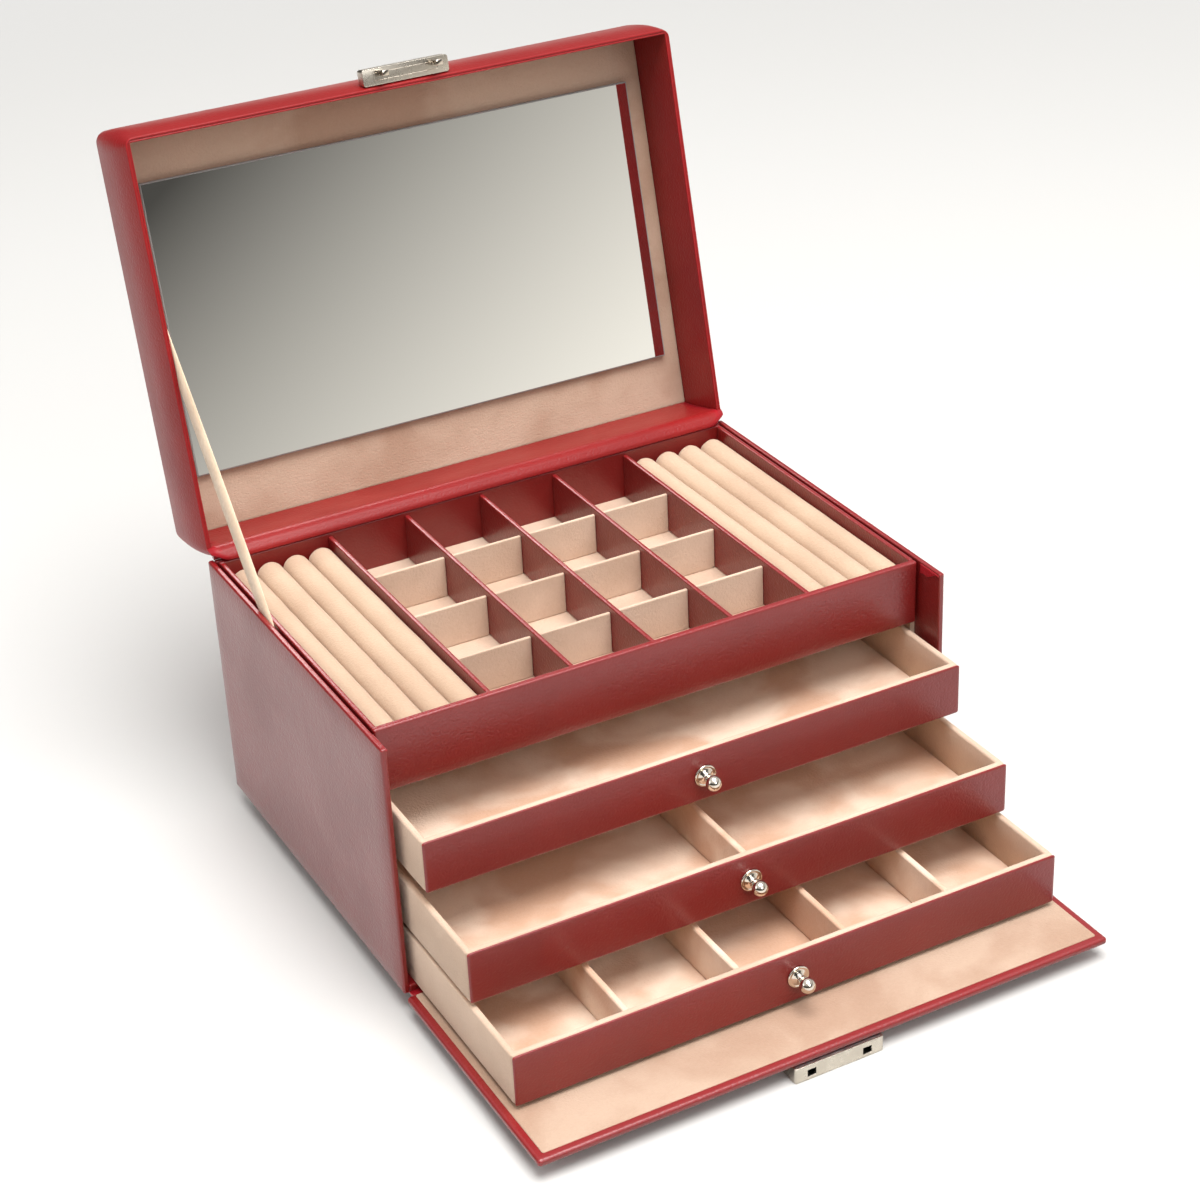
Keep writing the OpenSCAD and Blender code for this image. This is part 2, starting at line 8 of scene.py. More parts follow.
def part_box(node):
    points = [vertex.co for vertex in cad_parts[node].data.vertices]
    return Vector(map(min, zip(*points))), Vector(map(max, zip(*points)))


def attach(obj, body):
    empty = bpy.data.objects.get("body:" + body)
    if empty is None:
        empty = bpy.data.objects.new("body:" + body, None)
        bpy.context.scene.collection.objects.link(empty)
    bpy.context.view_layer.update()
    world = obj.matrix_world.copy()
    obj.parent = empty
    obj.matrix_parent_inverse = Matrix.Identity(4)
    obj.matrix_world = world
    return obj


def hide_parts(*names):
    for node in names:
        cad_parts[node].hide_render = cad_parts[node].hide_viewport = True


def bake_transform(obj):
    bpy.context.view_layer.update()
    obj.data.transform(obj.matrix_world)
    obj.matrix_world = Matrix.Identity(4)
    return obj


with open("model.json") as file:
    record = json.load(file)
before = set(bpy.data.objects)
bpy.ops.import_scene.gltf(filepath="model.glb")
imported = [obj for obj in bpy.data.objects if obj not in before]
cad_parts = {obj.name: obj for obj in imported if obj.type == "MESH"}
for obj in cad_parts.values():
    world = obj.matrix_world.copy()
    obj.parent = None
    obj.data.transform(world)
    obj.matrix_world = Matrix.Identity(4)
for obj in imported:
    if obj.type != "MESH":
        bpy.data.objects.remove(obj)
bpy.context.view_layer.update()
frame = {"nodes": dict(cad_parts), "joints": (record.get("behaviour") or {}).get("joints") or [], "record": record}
mm = 0.001
nodes = frame["nodes"]
joints = {j["name"]: j for j in frame["joints"]}
print("case: frame loaded,", len(nodes), "parts")

# Degrees; the heading is to the right of straight back
cameraView = {
    "eye": (-0.44781, -0.87829, 0.66524),
    "heading": 27.223,
    "pitch": -28.956,
    "roll": 2.755,
    "fieldOfView": 25.874,
}


def makeCamera(view):
    heading, pitch, roll = (math.radians(view[k]) for k in ("heading", "pitch", "roll"))
    level = math.cos(pitch)
    forward = Vector((math.sin(heading) * level, math.cos(heading) * level, math.sin(pitch)))
    across = forward.cross(Vector((0, 0, 1))).normalized()
    down = forward.cross(across)
    right = across * math.cos(roll) + down * math.sin(roll)
    up = across * math.sin(roll) - down * math.cos(roll)
    lens = bpy.data.cameras.new("caseCamera")
    lens.angle = math.radians(view["fieldOfView"])
    camera = bpy.data.objects.new("caseCamera", lens)
    turn = Matrix((right, up, -forward)).transposed().to_4x4()
    camera.matrix_world = Matrix.Translation(view["eye"]) @ turn
    bpy.context.scene.collection.objects.link(camera)
    bpy.context.scene.camera = camera


makeCamera(cameraView)
bpy.context.scene.view_settings.view_transform = "Standard"
print("case: camera placed")


# Node groups that several finishes share
def newGroup(name, inputs, outputs):
    group = bpy.data.node_groups.new(name, "ShaderNodeTree")
    for label, kind, value in inputs:
        socket = group.interface.new_socket(label, in_out="INPUT", socket_type=kind)
        socket.default_value = value
    for label, kind in outputs:
        group.interface.new_socket(label, in_out="OUTPUT", socket_type=kind)
    return group, group.nodes.new("NodeGroupInput"), group.nodes.new("NodeGroupOutput")


def addNode(tree, kind, **values):
    made = tree.nodes.new("ShaderNode" + kind)
    for key, value in values.items():
        if key in made.inputs:
            made.inputs[key].default_value = value
        else:
            setattr(made, key, value)
    return made


def mathNode(tree, operation, first, second=None):
    made = addNode(tree, "Math", operation=operation)
    for i, value in enumerate((first, second)):
        if value is None:
            continue
        if isinstance(value, (int, float)):
            made.inputs[i].default_value = value
        else:
            tree.links.new(value, made.inputs[i])
    return made.outputs[0]


def rangeNode(tree, value, source, target, smooth=True):
    ranged = addNode(tree, "MapRange", interpolation_type="SMOOTHSTEP" if smooth else "LINEAR")
    for label, number in zip(("From Min", "From Max", "To Min", "To Max"), source + target):
        ranged.inputs[label].default_value = number
    tree.links.new(value, ranged.inputs["Value"])
    return ranged.outputs["Result"]


# Two noises, patches and flecks, blend a light and a dark colour.
def makeToneDrift():
    group, inside, outside = newGroup(
        "toneDrift",
        [("Light", "NodeSocketColor", (1, 1, 1, 1)), ("Dark", "NodeSocketColor", (0.5, 0.5, 0.5, 1)),
         ("Patch Size", "NodeSocketFloat", 20.0), ("Fleck Size", "NodeSocketFloat", 200.0),
         ("Fleck", "NodeSocketFloat", 0.3), ("Spread", "NodeSocketFloat", 0.18)],
        [("Color", "NodeSocketColor"), ("Mask", "NodeSocketFloat")])
    link = group.links.new
    place = addNode(group, "TexCoord")
    patch = addNode(group, "TexNoise", Detail=3.0, Roughness=0.5, Distortion=0.4)
    fleck = addNode(group, "TexNoise", Detail=4.0, Roughness=0.6)
    link(place.outputs["Object"], patch.inputs["Vector"])
    link(place.outputs["Object"], fleck.inputs["Vector"])
    link(inside.outputs["Patch Size"], patch.inputs["Scale"])
    link(inside.outputs["Fleck Size"], fleck.inputs["Scale"])
    spread = addNode(group, "MapRange", interpolation_type="SMOOTHSTEP")
    link(mathNode(group, "SUBTRACT", 0.5, inside.outputs["Spread"]), spread.inputs["From Min"])
    link(mathNode(group, "ADD", inside.outputs["Spread"], 0.5), spread.inputs["From Max"])
    link(patch.outputs["Fac"], spread.inputs["Value"])
    both = addNode(group, "Mix", data_type="FLOAT")
    link(inside.outputs["Fleck"], both.inputs["Factor"])
    link(spread.outputs["Result"], both.inputs["A"])
    link(fleck.outputs["Fac"], both.inputs["B"])
    tone = addNode(group, "Mix", data_type="RGBA")
    link(both.outputs["Result"], tone.inputs["Factor"])
    link(inside.outputs["Light"], tone.inputs["A"])
    link(inside.outputs["Dark"], tone.inputs["B"])
    link(tone.outputs["Result"], outside.inputs["Color"])
    link(both.outputs["Result"], outside.inputs["Mask"])
    return group


cellWander = 0.0016  # metres that the cells are pushed off a plain pattern


# Fine pebbled cells with creases across them
def makeHideGrain():
    group, inside, outside = newGroup(
        "hideGrain",
        [("Cells", "NodeSocketFloat", 900.0), ("Creases", "NodeSocketFloat", 60.0),
         ("Crease Share", "NodeSocketFloat", 0.4)],
        [("Height", "NodeSocketFloat"), ("Pits", "NodeSocketFloat")])
    link = group.links.new
    place = addNode(group, "TexCoord")
    bend = addNode(group, "TexNoise", Scale=140.0, Detail=2.0)
    link(place.outputs["Object"], bend.inputs["Vector"])
    moved = addNode(group, "VectorMath", operation="MULTIPLY_ADD")
    moved.inputs[1].default_value = (cellWander, cellWander, cellWander)
    link(bend.outputs["Color"], moved.inputs[0])
    link(place.outputs["Object"], moved.inputs[2])
    cells = addNode(group, "TexVoronoi", feature="SMOOTH_F1")
    link(moved.outputs[0], cells.inputs["Vector"])
    link(inside.outputs["Cells"], cells.inputs["Scale"])
    creases = addNode(group, "TexNoise", Detail=5.0, Roughness=0.6)
    link(place.outputs["Object"], creases.inputs["Vector"])
    link(inside.outputs["Creases"], creases.inputs["Scale"])
    pits = mathNode(group, "POWER", cells.outputs["Distance"], 2.0)
    fine = mathNode(group, "SUBTRACT", 1.0, pits)
    both = addNode(group, "Mix", data_type="FLOAT")
    link(inside.outputs["Crease Share"], both.inputs["Factor"])
    link(fine, both.inputs["A"])
    link(creases.outputs["Fac"], both.inputs["B"])
    link(both.outputs["Result"], outside.inputs["Height"])
    link(pits, outside.inputs["Pits"])
    return group


# Short fibres, with the marks a hand leaves in them
def makeNapField():
    group, inside, outside = newGroup(
        "napField",
        [("Fibres", "NodeSocketFloat", 1400.0), ("Brushing", "NodeSocketFloat", 45.0)],
        [("Height", "NodeSocketFloat"), ("Brushed", "NodeSocketFloat")])
    link = group.links.new
    place = addNode(group, "TexCoord")
    fibres = addNode(group, "TexNoise", Detail=2.0, Roughness=0.7)
    brushing = addNode(group, "TexNoise", Detail=4.0, Roughness=0.6, Distortion=0.8)
    for texture, label in ((fibres, "Fibres"), (brushing, "Brushing")):
        link(place.outputs["Object"], texture.inputs["Vector"])
        link(inside.outputs[label], texture.inputs["Scale"])
    both = addNode(group, "Mix", data_type="FLOAT", Factor=0.25)
    link(fibres.outputs["Fac"], both.inputs["A"])
    link(brushing.outputs["Fac"], both.inputs["B"])
    link(both.outputs["Result"], outside.inputs["Height"])
    link(brushing.outputs["Fac"], outside.inputs["Brushed"])
    return group


toneDrift, hideGrain, napField = makeToneDrift(), makeHideGrain(), makeNapField()


def placeGroup(tree, group, **values):
    made = tree.nodes.new("ShaderNodeGroup")
    made.node_tree = group
    for key, value in values.items():
        made.inputs[key].default_value = value
    return made


def placeTone(tree, look):
    made = placeGroup(tree, toneDrift, **{
        "Light": look["light"], "Dark": look["dark"], "Patch Size": look["patch"], "Fleck Size": look["fleck"],
        "Fleck": look["share"]})
    if "spread" in look:
        made.inputs["Spread"].default_value = look["spread"]
    return made


def newMaterial(name, **values):
    material = bpy.data.materials.new(name)
    material.use_nodes = True
    shader = material.node_tree.nodes["Principled BSDF"]
    for key, value in values.items():
        shader.inputs[key].default_value = value
    return material, material.node_tree, shader


def addBump(tree, shader, height, distance, strength=1.0):
    bump = addNode(tree, "Bump", Strength=strength, Distance=distance)
    tree.links.new(height, bump.inputs["Height"])
    tree.links.new(bump.outputs["Normal"], shader.inputs["Normal"])
    return bump


def spreadTo(tree, value, low, high, socket):
    ranged = addNode(tree, "MapRange")
    ranged.inputs["To Min"].default_value = low
    ranged.inputs["To Max"].default_value = high
    tree.links.new(value, ranged.inputs["Value"])
    tree.links.new(ranged.outputs["Result"], socket)


# Finishes: colours are linear; patches, flecks, cells and threads are noise scales; bumps are in metres
# The leather's pale colour is partly wear and partly painted light: painted highlight on convex edges, painted top
# light on faces that look up.
leatherLook = {
    "light": (0.200, 0.0095, 0.0085, 1), "dark": (0.155, 0.0075, 0.0065, 1), "wornAndPaintedLightColour": (0.350, 0.010, 0.017, 1),
    "paintedTopLightShare": 0.34, "coat": 0.38, "specular": 0.5,
    "patch": 14.0, "fleck": 300.0, "share": 0.35, "cells": 1100.0, "creases": 160.0, "creaseShare": 0.5,
    "bump": 0.00032, "waves": 0.0003, "waveScale": 14.0, "rough": (0.28, 0.40), "coatRough": 0.2, "ior": 1.5,
    "edgeWearAndHighlightFrom": (0.508, 0.56), "paintedTopLightFrom": (0.35, 0.9),
}
# Painted light: the lid gets a lighter copy of the red leather, its colour set for the light that falls on the
# lid; it is also less glossy.
lidLitCopyLook = dict(leatherLook, light=(0.270, 0.012, 0.012, 1), dark=(0.210, 0.010, 0.010, 1),
               wornAndPaintedLightColour=(0.330, 0.011, 0.017, 1), paintedTopLightShare=0.0, coat=0.10, specular=0.18, rough=(0.34, 0.46))
velourLook = {
    "light": (0.690, 0.520, 0.400, 1), "dark": (0.540, 0.375, 0.270, 1),
    "patch": 26.0, "fleck": 700.0, "share": 0.5, "spread": 0.16, "fibres": 1000.0, "brushing": 70.0,
    "bump": 0.0004, "rough": (0.82, 0.98), "specular": 0.15,
    "sheen": 0.35, "sheenRough": 0.45, "sheenTint": (1.0, 0.86, 0.74, 1),
}
brushedLook = dict(velourLook, light=(0.815, 0.645, 0.510, 1), dark=(0.600, 0.355, 0.232, 1),
                   patch=24.0, share=0.25, spread=0.12)
liningLook = dict(velourLook, light=(0.540, 0.390, 0.290, 1), dark=(0.400, 0.250, 0.172, 1),
                  patch=20.0, share=0.35, spread=0.12)
rollCloth = dict(velourLook, light=(0.588, 0.425, 0.302, 1), dark=(0.475, 0.320, 0.220, 1), patch=18.0)
ribbonLook = {"light": (0.86, 0.68, 0.50, 1), "dark": (0.66, 0.47, 0.32, 1), "patch": 60.0, "fleck": 900.0,
              "share": 0.6, "threads": 110.0, "bend": 0.6, "bump": 0.00008, "sheen": 0.2, "specular": 0.3,
              "rough": (0.72, 0.52)}
nickelLook = {"light": (0.76, 0.69, 0.60, 1), "dark": (0.62, 0.55, 0.46, 1), "rough": (0.06, 0.14),
              "patch": 180.0, "fleck": 1600.0, "share": 0.4}
steelLook = dict(nickelLook, light=(0.56, 0.56, 0.57, 1), dark=(0.42, 0.42, 0.43, 1), rough=(0.28, 0.45))
satinLook = dict(nickelLook, light=(0.62, 0.57, 0.49, 1), dark=(0.50, 0.45, 0.38, 1), rough=(0.25, 0.31))
groundLook = {"light": (0.34, 0.35, 0.34, 1), "dark": (0.26, 0.27, 0.26, 1), "rough": (0.3, 0.45),
              "patch": 90.0, "fleck": 2500.0, "share": 0.6, "coat": 0.2, "coatRough": 0.2}
mirrorLook = {"silver": (0.88, 0.89, 0.87, 1), "haze": (0.012, 0.03), "patch": 14.0}


def makeLeather(name, look):
    material, tree, shader = newMaterial(name, **{
        "Coat Weight": look["coat"], "Coat Roughness": look["coatRough"], "IOR": look["ior"],
        "Specular IOR Level": look["specular"]})
    link = tree.links.new
    tone = placeTone(tree, look)
    grain = placeGroup(tree, hideGrain, **{
        "Cells": look["cells"], "Creases": look["creases"], "Crease Share": look["creaseShare"]})
    shape = addNode(tree, "NewGeometry")
    # Wear and painted highlight: convex edges, found by pointiness, are painted paler.
    wearAndPaintedLightMask = rangeNode(tree, shape.outputs["Pointiness"], look["edgeWearAndHighlightFrom"], (0.0, 1.0))
    facing = addNode(tree, "SeparateXYZ")
    link(shape.outputs["True Normal"], facing.inputs[0])
    # Painted top light: faces that look up are painted paler, as overhead light makes them.
    upper = rangeNode(tree, facing.outputs["Z"], look["paintedTopLightFrom"], (0.0, look["paintedTopLightShare"]))
    wearAndPaintedLightMask = mathNode(tree, "MAXIMUM", wearAndPaintedLightMask, upper)  # convex edges pale as wear and painted highlight; faces that look up pale as painted top light
    wornAndPaintedLightColour = addNode(tree, "Mix", data_type="RGBA")
    wornAndPaintedLightColour.inputs["B"].default_value = look["wornAndPaintedLightColour"]
    link(wearAndPaintedLightMask, wornAndPaintedLightColour.inputs["Factor"])
    link(tone.outputs["Color"], wornAndPaintedLightColour.inputs["A"])
    link(wornAndPaintedLightColour.outputs["Result"], shader.inputs["Base Color"])
    spreadTo(tree, tone.outputs["Mask"], *look["rough"], shader.inputs["Roughness"])
    place = addNode(tree, "TexCoord")
    waves = addNode(tree, "TexNoise", Scale=look["waveScale"], Detail=1.0, Roughness=0.5)
    link(place.outputs["Object"], waves.inputs["Vector"])
    softly = addNode(tree, "Bump", Strength=1.0, Distance=look["waves"])
    link(waves.outputs["Fac"], softly.inputs["Height"])
    bump = addBump(tree, shader, grain.outputs["Height"], look["bump"])
    link(softly.outputs["Normal"], bump.inputs["Normal"])
    return material


def makeVelour(name, look):
    material, tree, shader = newMaterial(name, **{
        "Sheen Weight": look["sheen"], "Sheen Roughness": look["sheenRough"], "Sheen Tint": look["sheenTint"],
        "Specular IOR Level": look["specular"]})
    nap = placeGroup(tree, napField, **{"Fibres": look["fibres"], "Brushing": look["brushing"]})
    tone = placeTone(tree, look)
    tree.links.new(tone.outputs["Color"], shader.inputs["Base Color"])
    spreadTo(tree, nap.outputs["Brushed"], *look["rough"], shader.inputs["Roughness"])
    addBump(tree, shader, nap.outputs["Height"], look["bump"])
    return material


def makeRibbon(look):
    material, tree, shader = newMaterial("beigeRibbon", **{
        "Sheen Weight": look["sheen"], "Specular IOR Level": look["specular"]})
    link = tree.links.new
    tone = placeTone(tree, look)
    place = addNode(tree, "TexCoord")
    across, along = (addNode(tree, "TexWave", bands_direction=d, Scale=look["threads"], Distortion=look["bend"])
                     for d in ("Y", "Z"))
    link(place.outputs["Object"], across.inputs["Vector"])
    link(place.outputs["Object"], along.inputs["Vector"])
    woven = mathNode(tree, "MAXIMUM", across.outputs["Fac"], along.outputs["Fac"])
    link(tone.outputs["Color"], shader.inputs["Base Color"])
    spreadTo(tree, woven, *look["rough"], shader.inputs["Roughness"])
    addBump(tree, shader, woven, look["bump"])
    return material


# Metals and ground glass: the same drift of tone drives colour and roughness.
def makeHard(name, look, **values):
    material, tree, shader = newMaterial(name, **values)
    tone = placeTone(tree, look)
    tree.links.new(tone.outputs["Color"], shader.inputs["Base Color"])
    spreadTo(tree, tone.outputs["Mask"], *look["rough"], shader.inputs["Roughness"])
    return material


def makeMirror(look):
    material, tree, shader = newMaterial("silveredGlass", **{"Metallic": 1.0, "Base Color": look["silver"]})
    haze = addNode(tree, "TexNoise", Scale=look["patch"], Detail=2.0)
    place = addNode(tree, "TexCoord")
    tree.links.new(place.outputs["Object"], haze.inputs["Vector"])
    spreadTo(tree, haze.outputs["Fac"], *look["haze"], shader.inputs["Roughness"])
    return material


leather, lidLitCopyLeather = makeLeather("redLeather", leatherLook), makeLeather("lidLitCopyLeather", lidLitCopyLook)
velour, brushedVelour = makeVelour("beigeVelour", velourLook), makeVelour("brushedVelour", brushedLook)
liningVelour, rollVelour = makeVelour("liningVelour", liningLook), makeVelour("rollVelour", rollCloth)
ribbonCloth = makeRibbon(ribbonLook)
nickel = makeHard("warmNickel", nickelLook, Metallic=1.0)
steel = makeHard("plainSteel", steelLook, Metallic=1.0)
satinNickel = makeHard("satinNickel", satinLook, Metallic=1.0)
silver = makeMirror(mirrorLook)
groundGlass = makeHard("groundGlass", groundLook, **{
    "Coat Weight": groundLook["coat"], "Coat Roughness": groundLook["coatRough"]})
finishes = {"red_leather": leather, "beige_velour": velour, "beige_ribbon": ribbonCloth,
            "polished_nickel": nickel, "plain_steel": steel, "mirror_glass": silver}
slotOf = {part["node"]: part["material_slot"] for part in frame["record"]["subparts"]}
bodies = frame["record"]["behaviour"]["bodies"]
bodyOf = {node: body for body, members in bodies.items() for node in members}
ownFinishes = {"lid_plate": satinNickel, "lock_housing": satinNickel, "lid_top_panel": lidLitCopyLeather,
               "lid_hinge_band": lidLitCopyLeather, "flap_lining": liningVelour, "lid_lining": liningVelour,
               "ring_rolls_left": rollVelour, "ring_rolls_right": rollVelour,
               "middle_drawer_divider": brushedVelour, "bottom_drawer_dividers": brushedVelour}
ownFinishes.update({f"{drawer}_drawer_floor": brushedVelour for drawer in ("top", "middle", "bottom")})


def finishOf(node, slotName=None):
    return ownFinishes.get(node, finishes[slotName or slotOf[node]])


for name, part in nodes.items():
    part.data.materials.clear()
    part.data.materials.append(finishOf(name))
print("case: finishes made")


flatPieces = ("lidMirror", "leftCornerFold", "rightCornerFold")  # cut edges, no soft shading
weld = 1e-6


def addPiece(name, corners, faces, replaced, place=None, slotName=None, body=None):
    mesh = bpy.data.meshes.new(name)
    mesh.from_pydata([tuple(c) for c in corners], [], faces)
    shaped = bmesh.new()
    shaped.from_mesh(mesh)
    bmesh.ops.recalc_face_normals(shaped, faces=shaped.faces)
    shaped.to_mesh(mesh)
    shaped.free()
    if place is not None:
        mesh.transform(place)
    return finishPiece(name, mesh, replaced, slotName, body)


def finishPiece(name, mesh, replaced, slotName=None, body=None):
    mesh.polygons.foreach_set("use_smooth", [name not in flatPieces] * len(mesh.polygons))
    slotName = slotName or slotOf[replaced[0]]
    mesh.materials.clear()
    mesh.materials.append(finishOf(replaced[0], slotName))
    piece = bpy.data.objects.new(name, mesh)
    bpy.context.scene.collection.objects.link(piece)
    if body != "none":
        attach(piece, body or bodyOf[replaced[0]])
    if replaced:
        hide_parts(*replaced)
    return piece


boardRows = {"rounding": 4, "fading": (0.05, 0.2, 0.4, 0.6, 0.8, 1.0), "roomFor": 1.2, "fullest": 0.96,
             "plainReach": 4 * mm}


# Where a board is cut across: close rows over its round edge, then rows over the part that falls away
def boardStops(half, roll, reach):
    core = half - roll
    steps = boardRows["rounding"]
    rounding = [core + roll * math.tan(math.pi / 4 * k / steps) for k in range(steps + 1)]
    fading = [core * 0.5]
    if core > reach * boardRows["roomFor"]:
        fading = [core - reach * share for share in boardRows["fading"]]
    upper = sorted(set(round(v, 8) for v in rounding + fading + [0.0]))
    return [-v for v in reversed(upper) if v > 0] + upper


# A closed board with round edges. crown = (axis, side, reach, depth) lets one face fall away near its edges.
def boardShape(low, high, roll, crown=None):
    low, high = Vector(low), Vector(high)
    middle, half = (low + high) / 2, (high - low) / 2
    rolls = [min(r, h * boardRows["fullest"]) for r, h in zip(roll, half)]
    reach = crown[2] if crown else boardRows["plainReach"]
    stops = [boardStops(half[i], rolls[i], reach) for i in range(3)]
    corners, index, faces = [], {}, []

    def corner(point):
        key = tuple(round(v, 7) for v in point)
        if key not in index:
            index[key] = len(corners)
            corners.append(shapeCorner(Vector(point)))
        return index[key]

    def shapeCorner(point):
        core = Vector([max(-(half[i] - rolls[i]), min(half[i] - rolls[i], point[i])) for i in range(3)])
        away = Vector([(point[i] - core[i]) / rolls[i] for i in range(3)])
        away = away / max(away.length, 1e-9)
        moved = core + Vector([away[i] * rolls[i] for i in range(3)])
        if crown:
            axis, side, span, depth = crown
            near = min(half[i] - abs(point[i]) for i in range(3) if i != axis)
            if near < span:
                share = (side * moved[axis] / half[axis] + 1) / 2
                moved[axis] -= side * depth * share * (1 - near / span) ** 3
        return middle + moved

    for axis in range(3):
        u, v = [i for i in range(3) if i != axis]
        for side in (-1, 1):
            for i in range(len(stops[u]) - 1):
                for j in range(len(stops[v]) - 1):
                    quad = []
                    for a, b in ((i, j), (i + 1, j), (i + 1, j + 1), (i, j + 1)):
                        point = [0, 0, 0]
                        point[axis], point[u], point[v] = side * half[axis], stops[u][a], stops[v][b]
                        quad.append(corner(point))
                    faces.append(quad)
    return corners, faces


def joinShapes(shapes):
    corners, faces = [], []
    for someCorners, someFaces in shapes:
        start = len(corners)
        corners += someCorners
        faces += [[start + i for i in face] for face in someFaces]
    return corners, faces


sideShares = (0.012, 0.25, 0.5, 0.75, 0.988)  # the rows beside the corners keep the straight sides flat


def roundLoop(middle, half, radius, steps=6):
    points = []
    for quarter, (sx, sy) in enumerate(((1, 1), (-1, 1), (-1, -1), (1, -1))):
        cx, cy = middle[0] + sx * (half[0] - radius), middle[1] + sy * (half[1] - radius)
        for k in range(steps + 1):
            angle = math.pi / 2 * (quarter + k / steps)
            points.append(Vector((cx + radius * math.cos(angle), cy + radius * math.sin(angle))))
    loop = []
    for i, point in enumerate(points):
        ahead = points[(i + 1) % len(points)]
        loop.append(point)
        if i % (steps + 1) == steps:
            loop += [point.lerp(ahead, share) for share in sideShares]
    return loop


ringCorner = {"tighten": 1.9, "smallest": 0.4 * mm}  # how fast corners close towards the middle


# A skin that follows a rectangle's outline: the profile gives (distance inwards, height) pairs.
def ringShape(low, high, radius, profile, closed, capped=False):
    middle = ((low[0] + high[0]) / 2, (low[1] + high[1]) / 2)
    half = ((high[0] - low[0]) / 2, (high[1] - low[1]) / 2)
    corners, faces = [], []
    for inward, height in profile:
        bend = max(radius - ringCorner["tighten"] * inward, ringCorner["smallest"])
        loop = roundLoop(middle, (half[0] - inward, half[1] - inward), bend)
        corners += [(x, y, height) for x, y in loop]
    count = len(loop)
    rows = len(profile)
    for row in range(rows if closed else rows - 1):
        for k in range(count):
            a, b = row * count, (row + 1) % rows * count
            faces.append([a + k, a + (k + 1) % count, b + (k + 1) % count, b + k])
    if capped:
        faces.append(list(range((rows - 1) * count, rows * count)))
    return corners, faces


def arc(cx, cy, rx, ry, start, end, steps):
    turns = [math.radians(start + (end - start) * k / steps) for k in range(steps + 1)]
    return [(cx + rx * math.cos(a), cy + ry * math.sin(a)) for a in turns]


brokenLook = {"flatWithin": 1, "sharpFrom": 40, "softBelow": 32, "segments": 3}  # angles in degrees


# A CAD part's own shape with its edges broken
def brokenEdges(name, node, width):
    flat, sharpFrom, softBelow = (math.radians(brokenLook[k]) for k in ("flatWithin", "sharpFrom", "softBelow"))
    shaped = bmesh.new()
    shaped.from_mesh(nodes[node].data)
    bmesh.ops.remove_doubles(shaped, verts=shaped.verts, dist=weld)
    bmesh.ops.dissolve_limit(shaped, angle_limit=flat, verts=shaped.verts, edges=shaped.edges)
    sharp = [e for e in shaped.edges if len(e.link_faces) == 2 and e.calc_face_angle(0) > sharpFrom]
    bmesh.ops.bevel(shaped, geom=sharp, offset=width, segments=brokenLook["segments"], profile=0.5,
                    affect="EDGES", clamp_overlap=True)
    for edge in shaped.edges:
        edge.smooth = len(edge.link_faces) == 2 and edge.calc_face_angle(0) < softBelow
    mesh = bpy.data.meshes.new(name)
    shaped.to_mesh(mesh)
    shaped.free()
    return finishPiece(name, mesh, [node])


lidHinge = Vector(joints["lid_hinge"]["pos_m"])
openAngle = math.radians(joints["lid_hinge"]["range_deg"][1])
# Takes the closed lid, drawn about its hinge, to where it stands open
lidPlace = Matrix.Translation(lidHinge) @ Matrix.Rotation(-openAngle, 4, "X")


def boxAround(points):
    return (Vector([min(p[i] for p in points) for i in range(3)]),
            Vector([max(p[i] for p in points) for i in range(3)]))


# A lid part's box with the lid closed
def closedBox(node):
    back = lidPlace.inverted()
    return boxAround([back @ v.co for v in nodes[node].data.vertices])


# The boxes of the separate pieces inside one CAD part
def looseParts(node):
    whole = bmesh.new()
    whole.from_mesh(nodes[node].data)
    bmesh.ops.remove_doubles(whole, verts=whole.verts, dist=weld)
    whole.verts.ensure_lookup_table()
    seen, boxes = set(), []
    for start in whole.verts:
        if start in seen:
            continue
        stack, group = [start], []
        seen.add(start)
        while stack:
            vertex = stack.pop()
            group.append(vertex.co.copy())
            for edge in vertex.link_edges:
                other = edge.other_vert(vertex)
                if other not in seen:
                    seen.add(other)
                    stack.append(other)
        boxes.append(boxAround(group))
    whole.free()
    return sorted(boxes, key=lambda b: (round(b[0].x, 4), round(b[0].y, 4)))


# Case walls and tray frame
boardLook = {"edge": 0.9 * mm, "fallReach": 12 * mm, "fallDepth": 1.2 * mm, "proud": 0.6 * mm,
             "thinEdge": 0.7 * mm, "columns": 5}
frontShares = {"proud": 0.5, "reach": 0.7, "depth": 0.5, "floorEdge": 0.5}  # of the values above
shelfLook = {"back": 7.0 * mm, "edge": 0.35 * mm}
foldLook = {"wide": 13.5 * mm, "deep": 5.4 * mm, "thick": 0.4 * mm, "in": 0.6 * mm, "top": 0.9 * mm,
            "sink": 0.2 * mm, "steps": 12, "start": 0.25, "power": 1.4, "wave": 0.08}


def addBoard(name, node, edge, crown=None):
    low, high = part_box(node)
    if crown:  # the padded face stands a little proud of the board
        axis, side = crown[0], crown[1]
        (low if side < 0 else high)[axis] += side * boardLook["proud"]
    return addPiece(name, *boardShape(low, high, (edge, edge, edge), crown), [node])


def addCase(look):
    reach, depth, edge, thin = look["fallReach"], look["fallDepth"], look["edge"], look["thinEdge"]
    addBoard("leftWall", "left_side_wall", edge, (0, -1, reach, depth))
    addBoard("rightWall", "right_side_wall", edge, (0, 1, reach, depth))
    addBoard("backWall", "back_wall", edge, (1, 1, reach, depth))
    addBoard("baseBoard", "base_board", edge)
    addTrayFront(look, frontShares)
    addBoard("trayBackRail", "tray_back_rail", thin)
    addBoard("trayLeftRail", "tray_left_rail", thin)
    addBoard("trayRightRail", "tray_right_rail", thin)
    for k in range(1, look["columns"] + 1):
        addBoard(f"columnDivider{k}", f"column_divider_{k}", thin)


